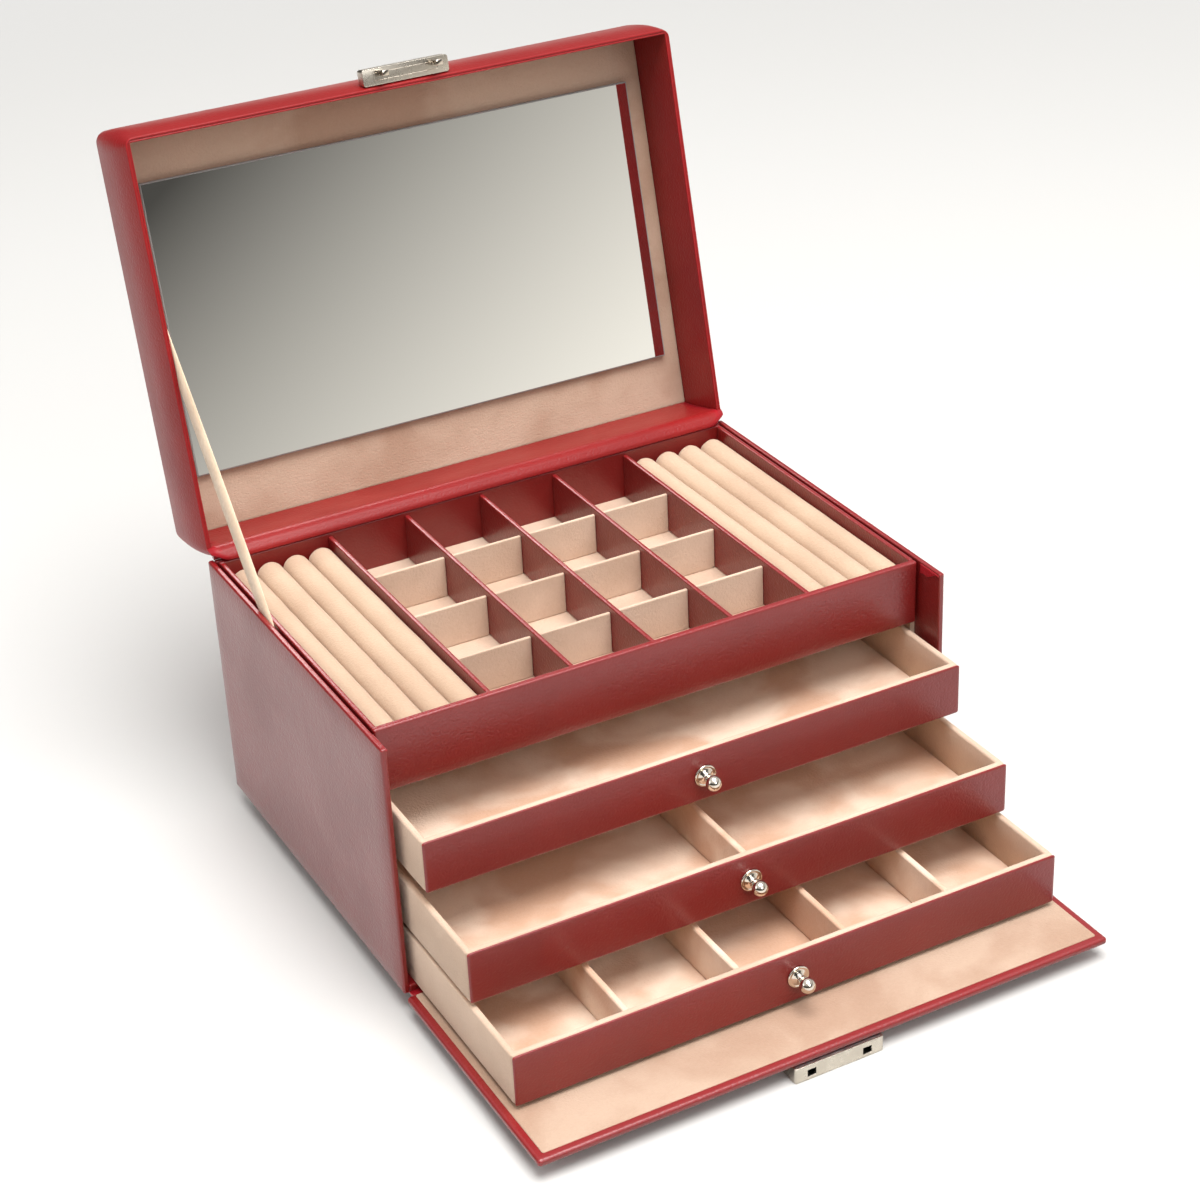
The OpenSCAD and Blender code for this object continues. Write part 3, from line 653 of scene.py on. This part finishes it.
# The front panel's leather runs down over the edge of the tray's floor.
def addTrayFront(look, shares):
    low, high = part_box("tray_front_panel")
    floorLow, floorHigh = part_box("tray_floor")
    behind = high.y
    low.z = floorLow.z
    low.y -= look["proud"] * shares["proud"]
    edge = look["edge"]
    crown = (1, -1, look["fallReach"] * shares["reach"], look["fallDepth"] * shares["depth"])
    shape = boardShape(low, high, (edge, edge, edge), crown)
    addPiece("trayFrontPanel", *shape, ["tray_front_panel"])
    floorLow.y = behind
    edge = look["edge"] * shares["floorEdge"]
    addPiece("trayFloor", *boardShape(floorLow, floorHigh, (edge, edge, edge)), ["tray_floor"])


# Turned-in leather at the front ends of the side walls
def addCornerFolds(look):
    wide, deep, thick, steps = look["wide"], look["deep"], look["thick"], look["steps"]
    for side, node in ((-1, "left_side_wall"), (1, "right_side_wall")):
        low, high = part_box(node)
        face = high.x if side < 0 else low.x
        front, top = low.y + look["in"], high.z - look["top"]
        rim = []
        for k in range(steps + 1):
            share = k / steps
            curve = math.sin(math.pi / 2 * share) ** look["power"]
            drop = look["start"] + (1 - look["start"]) * curve - look["wave"] * math.sin(math.pi * 3 * share)
            rim.append((front + wide * share, high.z - deep * drop))
        rim += [(front + wide, top), (front, top)]
        corners = [(x, y, z) for x in (face + side * look["sink"], face - side * thick) for y, z in rim]
        count = len(rim)
        faces = [[k, (k + 1) % count, count + (k + 1) % count, count + k] for k in range(count)]
        faces += [list(range(count)), list(range(count, 2 * count))]
        addPiece(f"{'left' if side < 0 else 'right'}CornerFold", corners, faces, [node])


# The shelves under the drawers stop short of the tray's front.
def addShelves(look):
    edge = look["edge"]
    shapes = []
    for low, high in looseParts("drawer_shelves"):
        low.y += look["back"]
        shapes.append(boardShape(low, high, (edge, edge, edge)))
    addPiece("drawerShelves", *joinShapes(shapes), ["drawer_shelves"])


addCase(boardLook)
addCornerFolds(foldLook)
addShelves(shelfLook)
print("case: walls and tray frame made")

# Tray: cross dividers and ring rolls
crossLook = {"columns": 4, "edge": 0.6 * mm}
rollLook = {"waist": 0.9 * mm, "flat": 0.6 * mm, "unevenness": 0.16 * mm, "slices": 34, "endRows": 7,
            "arc": (-38, 218, 22), "smallest": 0.0004, "sink": 0.55, "bulge": 0.02,
            "noise": {"seed": 3.7, "along": 60, "bulgeAcross": 400, "bulgeAlong": 90}}


def addCrossDividers(look):
    for k in range(1, look["columns"] + 1):
        node = f"cross_dividers_{k}"
        edge = look["edge"]
        shapes = [boardShape(low, high, (edge, edge, edge)) for low, high in looseParts(node)]
        addPiece(f"crossDividers{k}", *joinShapes(shapes), [node])


def rollShape(low, high, look, seed):
    width, height = high.x - low.x, high.z - low.z
    radius = width / 2
    axisX, axisZ = (low.x + high.x) / 2, high.z - radius
    section = arc(0, 0, radius, radius, *look["arc"])
    foot = radius - look["waist"]
    section += [(-foot, low.z - axisZ + look["flat"]), (-foot + look["flat"], low.z - axisZ),
                (foot - look["flat"], low.z - axisZ), (foot, low.z - axisZ + look["flat"])]
    corners, faces = [], []
    length = high.y - low.y
    rows, scale = look["endRows"], look["noise"]
    places = [radius * (1 - math.cos(math.pi / 2 * k / rows)) for k in range(1, rows + 1)]
    middle = [radius + (length - 2 * radius) * k / look["slices"] for k in range(1, look["slices"])]
    stations = places + middle + [length - p for p in reversed(places)]
    for along in stations:
        end = min(along, length - along)
        share = math.sqrt(max(1 - (1 - min(end / radius, 1)) ** 2, look["smallest"]))
        swell = look["unevenness"] * noise.noise(Vector((seed * scale["seed"], along * scale["along"], 0.5)))
        size = share * (1 + (swell - look["unevenness"] * 0.5) / radius)
        for x, z in section:
            drop = (1 - share) * (low.z - axisZ) * look["sink"]  # the ends sink towards the lining
            spot = Vector((x * scale["bulgeAcross"], along * scale["bulgeAlong"], seed))
            bulge = 1 + look["bulge"] * noise.noise(spot)
            newZ = z * size * bulge + drop if z > 0 else max(z * size + drop, low.z - axisZ)
            corners.append((axisX + x * size * bulge, low.y + along, axisZ + newZ))
    count = len(section)
    for row in range(len(stations) - 1):
        for k in range(count):
            faces.append([row * count + k, row * count + (k + 1) % count,
                          (row + 1) * count + (k + 1) % count, (row + 1) * count + k])
    faces.append(list(range(count)))
    faces.append(list(range((len(stations) - 1) * count, len(stations) * count)))
    return corners, faces


def addRolls(look):
    for side in ("left", "right"):
        node = f"ring_rolls_{side}"
        for k, (low, high) in enumerate(looseParts(node), 1):
            corners, faces = rollShape(low, high, look, k + (10 if side == "right" else 0))
            roll = addPiece(f"ringRoll_{side}{k}", corners, faces, [node])


addCrossDividers(crossLook)
addRolls(rollLook)
print("case: tray fittings made")

# Drawers
drawerLook = {"corner": 1.6 * mm, "top": 1.1 * mm, "foot": 0.6 * mm, "dividerEdge": 1.0 * mm,
              "facingRoll": (1.4 * mm, 0.55 * mm, 1.0 * mm)}
knobBall = {"radius": 3.4, "neck": 1.75, "step": 7, "until": 88, "tip": 0.02}
knobLook = [(0, 0), (4.6, 0), (5.0, 0.25), (5.0, 0.8), (4.75, 1.1), (4.2, 1.15), (3.9, 0.95), (3.5, 1.0),
            (3.1, 1.35), (2.5, 1.6), (1.95, 2.0), (1.6, 2.6), (1.5, 3.2), (1.6, 3.7), (2.1, 4.0), (2.25, 4.25),
            (2.1, 4.5), (1.75, 4.62)]


# Turned about the Y axis, towards the front; the profile gives (radius, distance out) in mm
def lathe(profile, steps=48):
    corners, faces = [], []
    for radius, out in profile:
        for k in range(steps):
            angle = 2 * math.pi * k / steps
            corners.append((radius * mm * math.cos(angle), -out * mm, radius * mm * math.sin(angle)))
    for row in range(len(profile) - 1):
        for k in range(steps):
            faces.append([row * steps + k, row * steps + (k + 1) % steps,
                          (row + 1) * steps + (k + 1) % steps, (row + 1) * steps + k])
    return corners, faces


def addKnob(drawer, look, ball):
    low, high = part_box(f"{drawer}_drawer_knob")
    radius = ball["radius"]
    reach = (high.y - low.y) / mm
    centre = reach - radius
    start = math.degrees(math.acos(ball["neck"] / radius))
    turns = [math.radians(a) for a in range(-int(start), ball["until"], ball["step"])]
    profile = look + [(radius * math.cos(a), centre + radius * math.sin(a)) for a in turns]
    profile.append((ball["tip"], reach))
    spot = Matrix.Translation(((low.x + high.x) / 2, high.y, (low.z + high.z) / 2))
    addPiece(f"{drawer}Knob", *lathe(profile), [f"{drawer}_drawer_knob"], spot)


def addDrawer(drawer, dividers, look):
    walls = f"{drawer}_drawer_walls"
    low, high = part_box(walls)
    floorLow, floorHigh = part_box(f"{drawer}_drawer_floor")
    thick = floorLow.y - low.y
    top, foot = look["top"], look["foot"]
    profile = [(foot, low.z), (0, low.z + foot)] + arc(top, high.z - top, top, top, 180, 90, 5)
    profile += arc(thick - top, high.z - top, top, top, 90, 0, 5) + [(thick, low.z)]
    addPiece(f"{drawer}Walls", *ringShape(low, high, look["corner"], profile, True), [walls])
    facing = f"{drawer}_drawer_facing"
    addPiece(f"{drawer}Facing", *boardShape(*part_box(facing), look["facingRoll"]), [facing])
    if dividers:
        edge = look["dividerEdge"]
        shapes = [boardShape(a, b, (edge, edge, edge)) for a, b in looseParts(dividers)]
        addPiece(f"{drawer}Dividers", *joinShapes(shapes), [dividers])
    addKnob(drawer, knobLook, knobBall)


addDrawer("top", None, drawerLook)
addDrawer("middle", "middle_drawer_divider", drawerLook)
addDrawer("bottom", "bottom_drawer_dividers", drawerLook)
print("case: drawers made")

# Lid
lidLook = {"corner": 5.5 * mm, "edge": 5.2 * mm, "crown": 1.2 * mm, "crownReach": 62 * mm, "crownRows": 9,
           "crownStart": 0.006, "lip": 0.6 * mm, "seam": 0.35 * mm, "seamDeep": 1.6, "support": 0.3 * mm,
           "setBack": 0.8 * mm, "swell": 2.4 * mm, "swellPower": 2.4,
           "swellRows": (0.02, 0.12, 0.3, 0.5, 0.7, 0.85, 1.0), "fallRows": (0.25, 0.5, 0.75, 0.97),
           "liningEdge": 1.2 * mm, "liningFront": 0.4, "liningGap": 0.9 * mm, "mirrorBevel": 0.6 * mm,
           "mirrorCorner": 0.6 * mm, "glassArea": 0.01}
# Path points in mm: out from the lid's wall with a share of the lining's depth, then back and up
bandLook = {"thick": 0.9 * mm, "steps": 60, "smooth": 5, "wave": 0.12 * mm, "waveScale": (40, 3),
            "thinEnd": 0.35, "under": (1.3, 0.6),
            "ends": ((0.0, 128.9), (0.42, 129.3), (0.56, 132.3), (0.72, 131.6), (1.0, 124.6)),
            "inLid": ((1.0, 0.8), (1.0, 0.55), (1.3, 0.32), (1.5, 0.14), (1.4, 0.0)),
            "overHinge": ((-1.7, 3.5), (-3.3, 2.2)), "onRail": ((0.2, 1.9), (-0.2, 0.4)), "blendUp": 8 * mm}
ribbonShape = {"steps": 48, "twist": math.radians(9), "twistLow": 0.6, "endLong": 8 * mm}


def addLid(look):
    low, high = closedBox("lid_top_panel")
    rim = closedBox("lid_front_wall")[0].z
    liningLow, liningHigh = closedBox("lid_lining")
    thick = low.x * -1 - liningHigh.x
    edge, lip, seam, swell, support = (look[k] for k in ("edge", "lip", "seam", "swell", "support"))
    profile = [(thick, liningLow.z), (thick, liningLow.z * 0.5), (thick, rim + lip + support)]
    profile += arc(thick - lip * 0.5, rim + lip, lip * 0.5, lip, 0, -90, 4)
    setBack = look["setBack"]
    outer = setBack + lip
    middle = (thick - lip * 0.5 + outer) / 2
    profile += [(middle + seam, rim), (middle, rim + seam * look["seamDeep"]), (middle - seam, rim)]
    profile += arc(outer, rim + lip, lip, lip, -90, -180, 5)
    wallTop = high.z - edge
    halfway = (rim + wallTop) / 2
    for share in look["swellRows"]:  # the padded wall swells out towards its middle
        bulge = swell * (1 - (1 - share) ** look["swellPower"])
        profile.append((setBack - bulge, rim + lip + (halfway - rim - lip) * share))
    for share in look["fallRows"]:
        profile.append(((setBack - swell) * (1 - share ** 2), halfway + (wallTop - halfway) * share))
    profile += arc(edge, wallTop, edge, edge, 180, 90, 8)
    profile.append((edge + support, high.z + look["crown"] * look["crownStart"]))
    rows = look["crownRows"]
    for k in range(1, rows + 1):
        inward = edge + look["crownReach"] * k / rows
        profile.append((inward, high.z + look["crown"] * math.sin(math.pi / 2 * k / rows)))
    shape = ringShape(low, high, look["corner"], profile, False, True)
    parts = ["lid_top_panel", "lid_front_wall", "lid_back_wall", "lid_left_wall", "lid_right_wall"]
    addPiece("lidShell", *shape, parts, lidPlace)
    edge = look["liningEdge"]
    liningHigh.y -= look["liningGap"]  # a shadow line above the hinge band
    roll = (edge, edge, edge * look["liningFront"])
    addPiece("lidLining", *boardShape(liningLow, liningHigh, roll), ["lid_lining"], lidPlace)
    glass = addPiece("lidMirror", *mirrorShape(*closedBox("mirror"), look), ["mirror"], lidPlace)
    glass.data.materials.append(groundGlass)
    for face in glass.data.polygons:
        face.material_index = 0 if face.area > look["glassArea"] else 1


def mirrorShape(low, high, look):
    bevel = look["mirrorBevel"]
    profile = [(0, high.z), (0, low.z + bevel / 2), (bevel, low.z)]
    corners, faces = ringShape(low, high, look["mirrorCorner"], profile, False, True)
    count = len(corners) // len(profile)
    faces.append(list(range(count)))
    return corners, faces


# The leather band runs from the lining down the lid's back wall, over the hinge to the tray's back rail.
def bandPath(look, wall, turn):
    liningLow = closedBox("lid_lining")[0].z
    out, under = look["under"]
    inLid = [(wall + out * mm, -(liningLow - under * mm))]
    inLid += [(wall + out * mm, -liningLow * share) for out, share in look["inLid"]]
    path = [turn @ Vector((0, -u, -v)) for u, v in inLid]
    railLow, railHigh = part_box("tray_back_rail")
    railTop = railHigh.z - lidHinge.z
    front = railLow.y - lidHinge.y
    path += [Vector((0, y * mm, z * mm)) for y, z in look["overHinge"]]
    path += [Vector((0, front + y * mm, railTop + z * mm)) for y, z in look["onRail"]]
    return smoothPath(path, look["smooth"])


def addBand(look):
    wall = -closedBox("lid_hinge_band")[1].y
    turn = lidPlace.to_3x3()
    path = bandPath(look, wall, turn)
    half, corners, faces = look["thick"] / 2, [], []
    waveX, waveY = look["waveScale"]
    rows = len(path)
    for i, point in enumerate(path):
        ahead = (path[min(i + 1, rows - 1)] - path[max(i - 1, 0)]).normalized()
        across = Vector((0, ahead.z, -ahead.y))
        share = i / (rows - 1)
        end = alongSteps(look["ends"], share) * mm
        edge = look["thinEnd"] if i in (0, rows - 1) else 1.0
        for side in (-1, 1):
            for k in range(look["steps"] + 1):
                x = -end + 2 * end * k / look["steps"]
                wave = look["wave"] * noise.noise(Vector((x * waveX, share * waveY, 0))) * (1 - share)
                corners.append(lidHinge + point + across * (side * half * edge + wave) + Vector((x, 0, 0)))
    count = look["steps"] + 1
    for i in range(rows - 1):
        for k in range(look["steps"]):
            for side in (0, 1):
                a, b = (i * 2 + side) * count, ((i + 1) * 2 + side) * count
                faces.append([a + k, a + k + 1, b + k + 1, b + k])
        for k in (0, look["steps"]):
            a, b = i * 2 * count, (i + 1) * 2 * count
            faces.append([a + k, a + count + k, b + count + k, b + k])
    for i in (0, rows - 1):
        for k in range(look["steps"]):
            a = i * 2 * count
            faces.append([a + k, a + k + 1, a + count + k + 1, a + count + k])
    band = addPiece("hingeBand", corners, faces, ["lid_hinge_band"], body="none")
    end = lidHinge + turn @ Vector((0, -wall, look["blendUp"]))
    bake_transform(band)


# Reads a value off straight lines between (share, value) pairs.
def alongSteps(steps, share):
    for (a, low), (b, high) in zip(steps, steps[1:]):
        if share <= b:
            return low + (high - low) * (share - a) / (b - a)
    return steps[-1][1]


# A curve through all the points
def smoothPath(points, steps):
    made = []
    for i in range(len(points) - 1):
        before, a = points[max(i - 1, 0)], points[i]
        b, after = points[i + 1], points[min(i + 2, len(points) - 1)]
        for k in range(steps):
            t = k / steps
            made.append(0.5 * ((2 * a) + (b - before) * t + (2 * before - 5 * a + 4 * b - after) * t ** 2
                               + (3 * a - before - 3 * b + after) * t ** 3))
    return made + [points[-1]]


def addStayRibbon(look):
    points = [v.co for v in nodes["stay_ribbon"].data.vertices]
    inner, outer = min(p.x for p in points), max(p.x for p in points)
    bottom, top = min(p.z for p in points), max(p.z for p in points)
    lowest = [p for p in points if p.z < bottom + look["endLong"]]
    highest = [p for p in points if p.z > top - look["endLong"]]
    foot = sum((Vector((0, p.y, p.z)) for p in lowest), Vector()) / len(lowest)
    head = sum((Vector((0, p.y, p.z)) for p in highest), Vector()) / len(highest)
    run = (head - foot).normalized()
    side = Vector((0, -run.z, run.y))
    width = max(abs((p - foot).dot(side)) for p in lowest)
    corners, faces = [], []
    profile = [(-width, inner), (-width, outer), (0, outer), (width, outer), (width, inner), (0, inner)]
    middle = (inner + outer) / 2
    for i in range(look["steps"] + 1):
        share = i / look["steps"]
        along = foot.lerp(head, share) + Vector((middle, 0, 0))
        turn = Matrix.Rotation(look["twist"] * math.sin(math.pi * share ** look["twistLow"]), 3, run)
        for offset, x in profile:
            corners.append(along + turn @ (side * offset + Vector((x - middle, 0, 0))))
    count = len(profile)
    for i in range(look["steps"]):
        a, b = i * count, (i + 1) * count
        for k in range(count):
            ahead = (k + 1) % count
            faces.append([a + k, a + ahead, b + ahead, b + k])
    faces += [list(range(count)), list(range(b, b + count))]
    ribbon = addPiece("stayRibbon", corners, faces, ["stay_ribbon"], body="none")
    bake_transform(ribbon)


addLid(lidLook)
addBand(bandLook)
addStayRibbon(ribbonShape)
print("case: lid made")

# Flap
flapLook = {"border": (1.7 * mm, 1.7 * mm, 1.5 * mm), "liningEdge": 0.9 * mm, "liningDrop": 0.4 * mm}


def addFlap(look):
    addPiece("flapBoard", *boardShape(*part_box("flap_board"), look["border"]), ["flap_board"])
    low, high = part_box("flap_lining")
    roll, drop = look["liningEdge"], look["liningDrop"]
    addPiece("flapLining", *boardShape(low - Vector((0, 0, drop)), high, (roll, roll, drop)), ["flap_lining"])


addFlap(flapLook)
for label, node, width in (("lidPlate", "lid_plate", 0.18 * mm), ("lidProngs", "lid_prongs", 0.2 * mm),
                           ("lockHousing", "lock_housing", 0.25 * mm)):
    brokenEdges(label, node, width)
metalLook = {"lineIn": 5.3 * mm, "lineSide": 1.9 * mm, "lineWide": 0.35 * mm, "lineDeep": 0.1 * mm,
             "lineCorner": 0.6 * mm, "rivet": [(1.3, 0), (1.3, 0.35), (1.05, 0.75), (0.55, 0.95), (0.02, 1.0)],
             "rivetAt": (0.05 * mm, 3.6 * mm), "rivetIn": 0.9 * mm, "catch": (2.0, 1.3),
             "catchFront": (0.05 * mm, 1.2 * mm), "catchTop": 0.1 * mm,
             "catchRoll": (0.4 * mm, 0.3 * mm, 0.3 * mm)}


def addLockDetails(look):
    low, high = closedBox("lid_plate")
    inLine, side, wide, deep = look["lineIn"], look["lineSide"], look["lineWide"], look["lineDeep"]
    outline = (low + Vector((inLine, side, 0)), high - Vector((inLine, side, 0)))
    profile = [(0, low.z + deep), (wide * 0.3, low.z - deep), (wide * 0.7, low.z - deep), (wide, low.z + deep)]
    addPiece("lidPlateLine", *ringShape(*outline, look["lineCorner"], profile, True), ["lid_plate"], lidPlace)
    low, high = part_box("lock_housing")
    middle = (low.z + high.z) / 2
    x, y = look["rivetAt"]
    spot = Matrix.Translation((low.x + x, low.y + y, middle)) @ Matrix.Rotation(math.radians(-90), 4, "Z")
    inward = Matrix.Translation((look["rivetIn"], 0, 0))
    addPiece("lockRivet", *lathe(look["rivet"], 24), ["lock_housing"], inward @ spot, "plain_steel")
    wide, deep = (v * mm for v in look["catch"])
    out, back = look["catchFront"]
    notch = boardShape((-wide, low.y - out, high.z - deep), (wide, low.y + back, high.z - look["catchTop"]),
                       look["catchRoll"])
    addPiece("lockNotch", *notch, ["lock_housing"], None, "plain_steel")


addLockDetails(metalLook)
print("case: flap and lock made")

# Floor and light
studio = {"floor": (0.63, 0.62, 0.60, 1), "floorHalf": 3.2, "floorDrop": 0.1 * mm, "floorRough": 0.7,
          "floorSpecular": 0.2, "fade": (1.0, 2.6),
          "slope": (3.11, 0.0, -4.46), "level": -0.42, "dim": 0.075, "bright": 1.0,
          "tint": (1.0, 0.95, 0.87, 1), "tintUntil": (0.1, 0.25),
          "zenith": 0.82, "zenithFrom": (0.22, 0.75), "belowFrom": (-0.2, -0.03),
          # name, place, aim, width, watts
          "lights": [("overhead", (0.0, -0.6, 2.3), (0.0, 0.0, 0.0), 1.8, 76.0),
                     ("leftFill", (-2.4, 0.3, 1.1), (0.0, 0.0, 0.1), 1.4, 9.0),
                     ("frontFill", (0.2, -2.7, 1.7), (0.0, 0.0, 0.1), 1.6, 21.0)]}


def addStudio(look):
    half = look["floorHalf"]
    mesh = bpy.data.meshes.new("floor")
    corners = [(-half, -half, 0), (half, -half, 0), (half, half, 0), (-half, half, 0)]
    mesh.from_pydata(corners, [], [(0, 1, 2, 3)])
    floor = bpy.data.objects.new("floor", mesh)
    floor.location.z = -look["floorDrop"]
    bpy.context.scene.collection.objects.link(floor)
    material, tree, shader = newMaterial("paleFloor", **{
        "Base Color": look["floor"], "Roughness": look["floorRough"],
        "Specular IOR Level": look["floorSpecular"]})
    place = addNode(tree, "TexCoord")
    reach = addNode(tree, "VectorMath", operation="LENGTH")
    tree.links.new(place.outputs["Object"], reach.inputs[0])
    fade = rangeNode(tree, reach.outputs["Value"], look["fade"], (1.0, 0.0))
    tree.links.new(fade, shader.inputs["Alpha"])
    mesh.materials.append(material)
    for name, spot, target, size, power in look["lights"]:
        lamp = bpy.data.lights.new(name, "AREA")
        lamp.shape, lamp.size, lamp.energy = "DISK", size, power
        holder = bpy.data.objects.new(name, lamp)
        aim = (Vector(target) - Vector(spot)).to_track_quat("-Z", "Y")
        holder.matrix_world = Matrix.Translation(spot) @ aim.to_matrix().to_4x4()
        bpy.context.scene.collection.objects.link(holder)
    addRoom(look)


# A pale room that darkens towards the back left at eye level and brightens overhead
def addRoom(look):
    world = bpy.data.worlds.new("softRoom")
    bpy.context.scene.world = world
    world.use_nodes = True
    tree = world.node_tree
    link = tree.links.new
    sky = tree.nodes["Background"]
    place = addNode(tree, "TexCoord")
    slope = addNode(tree, "VectorMath", operation="DOT_PRODUCT")
    slope.inputs[1].default_value = look["slope"]
    link(place.outputs["Generated"], slope.inputs[0])
    split = addNode(tree, "SeparateXYZ")
    link(place.outputs["Generated"], split.inputs[0])
    level = mathNode(tree, "ADD", slope.outputs["Value"], look["level"])
    reach = (look["dim"], look["bright"])
    horizon = rangeNode(tree, level, reach, reach, False)
    zenith = rangeNode(tree, split.outputs["Z"], look["zenithFrom"], (0.0, look["zenith"]))
    aside = mathNode(tree, "ABSOLUTE", split.outputs["Z"])
    tint = addNode(tree, "Mix", data_type="RGBA")
    tint.inputs["A"].default_value = look["tint"]
    tint.inputs["B"].default_value = (1, 1, 1, 1)
    link(rangeNode(tree, aside, look["tintUntil"], (0.0, 1.0)), tint.inputs["Factor"])
    link(tint.outputs["Result"], sky.inputs["Color"])
    below = rangeNode(tree, split.outputs["Z"], look["belowFrom"], (look["bright"], 0.0))
    strongest = mathNode(tree, "MAXIMUM", mathNode(tree, "MAXIMUM", horizon, zenith), below)
    link(strongest, sky.inputs["Strength"])


addStudio(studio)
print("case: studio made")
